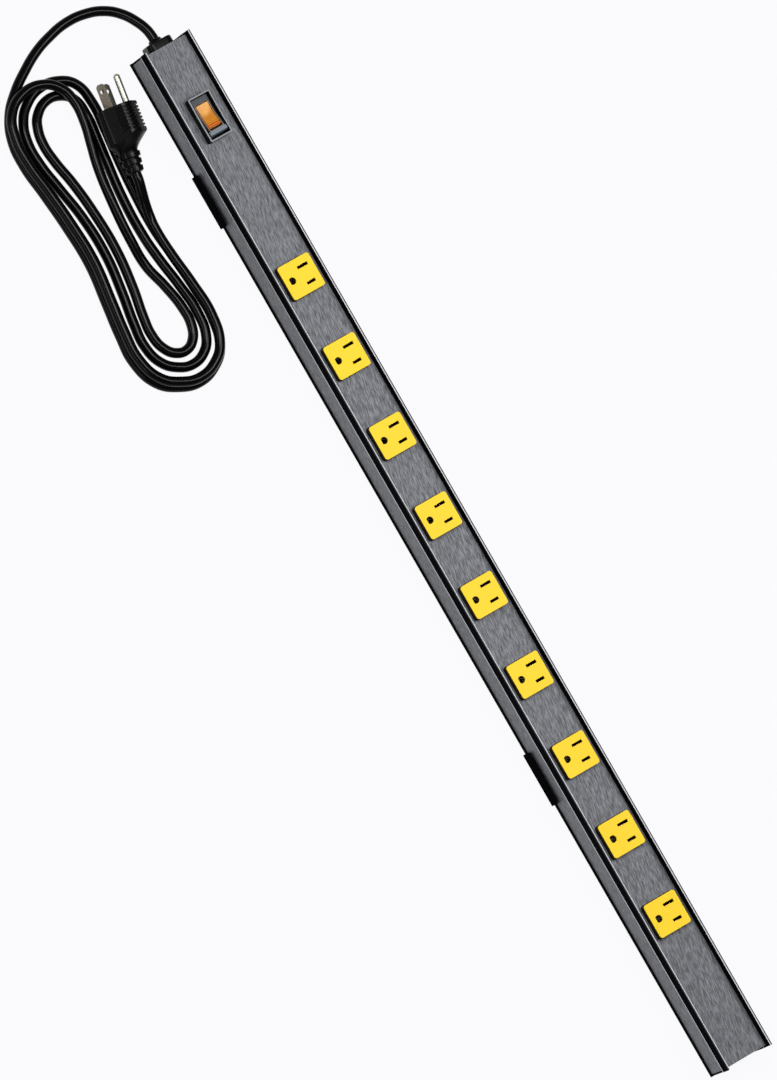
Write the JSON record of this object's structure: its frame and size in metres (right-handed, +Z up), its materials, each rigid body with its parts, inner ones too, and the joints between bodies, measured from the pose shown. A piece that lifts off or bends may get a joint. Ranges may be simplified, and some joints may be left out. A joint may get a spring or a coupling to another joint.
{
  "type": "power strip",
  "caption": "Long metal power strip with yellow square grounded outlets, a lighted rocker switch, sliding mounting clips and a corded grounding plug.",
  "frame": {"origin": "middle of the housing's length and width, on the surface the two mounting clips rest on", "axes": "+X along the strip away from the cord, +Y across it away from the hank of cord, +Z up through the outlet faces"},
  "size_m": [0.8667, 0.1507, 0.042],
  "materials": {
    "black_aluminium": "satin black finish",
    "brushed_aluminium": "brushed along the length, grey",
    "black_plastic": "moulded, fine satin",
    "yellow_plastic": "moulded, satin gloss",
    "white_plastic": "moulded",
    "brass": "stamped strip",
    "screw_steel": "zinc plated",
    "clip_steel": "black powder coat",
    "cord_pvc": "flexible jacket, satin",
    "plug_pvc": "moulded on the cord, satin",
    "blade_nickel": "dull nickel plate",
    "pin_nickel": "bright nickel plate",
    "amber_lens": "translucent amber",
    "lamp_glass": "clear glass",
    "wire_black": "wire insulation",
    "wire_white": "wire insulation",
    "wire_green": "wire insulation"
  },
  "bodies": {
    "strip": {"housing_channel": "black_aluminium", "face_plate": "brushed_aluminium", "side_panel_left": "brushed_aluminium", "side_panel_right": "brushed_aluminium", "end_cap_cord_side": "black_plastic", "end_cap_far_side": "black_plastic", "end_cap_screw_1": "screw_steel", "end_cap_screw_2": "screw_steel", "end_cap_screw_3": "screw_steel", "end_cap_screw_4": "screw_steel", "strain_relief_bushing": "black_plastic", "outlet_1": "yellow_plastic", "outlet_rear_cover_1": "white_plastic", "outlet_2": "yellow_plastic", "outlet_rear_cover_2": "white_plastic", "outlet_3": "yellow_plastic", "outlet_rear_cover_3": "white_plastic", "outlet_4": "yellow_plastic", "outlet_rear_cover_4": "white_plastic", "outlet_5": "yellow_plastic", "outlet_rear_cover_5": "white_plastic", "outlet_6": "yellow_plastic", "outlet_rear_cover_6": "white_plastic", "outlet_7": "yellow_plastic", "outlet_rear_cover_7": "white_plastic", "outlet_8": "yellow_plastic", "outlet_rear_cover_8": "white_plastic", "outlet_9": "yellow_plastic", "outlet_rear_cover_9": "white_plastic", "neutral_bus_bar": "brass", "line_bus_bar": "brass", "ground_bus_bar": "brass", "switch_housing": "black_plastic", "switch_terminal_lamp": "brass", "switch_terminal_in": "brass", "switch_terminal_out": "brass", "wire_line_in": "wire_black", "wire_line_switched": "wire_black", "wire_neutral_in": "wire_white", "wire_neutral_bus": "wire_white", "wire_ground_in": "wire_green", "wire_ground_bus": "wire_green", "ground_screw": "screw_steel", "cord_lead": "cord_pvc", "cord_hank": "cord_pvc", "cord_plug_end": "cord_pvc", "plug_body": "plug_pvc", "plug_blade_line": "blade_nickel", "plug_blade_neutral": "blade_nickel", "plug_ground_pin": "pin_nickel"},
    "rocker": {"switch_rocker": "black_plastic", "switch_lens": "amber_lens", "neon_lamp": "lamp_glass"},
    "contact": {"moving_contact": "brass"},
    "clip_1": {"mounting_clip_1": "clip_steel"},
    "clip_2": {"mounting_clip_2": "clip_steel"}
  },
  "joints": [
    {"name": "rocker_press", "type": "hinge", "parent": "strip", "child": "rocker", "pos_m": [-0.348, 0, 0.0329], "axis": [0, 1, 0], "range_deg": [0, 22]},
    {"name": "contact_tilt", "type": "hinge", "parent": "strip", "child": "contact", "pos_m": [-0.348, 0, 0.0202], "axis": [0, 1, 0], "range_deg": [-10, 0]},
    {"name": "clip_1_slide", "type": "slide", "parent": "strip", "child": "clip_1", "axis": [1, 0, 0], "range_m": [-0.085, 0.2]},
    {"name": "clip_2_slide", "type": "slide", "parent": "strip", "child": "clip_2", "axis": [1, 0, 0], "range_m": [-0.2, 0.215]}
  ],
  "couplings": [
    {"joint": "contact_tilt", "follows": "rocker_press", "ratio": -0.4545}
  ]
}
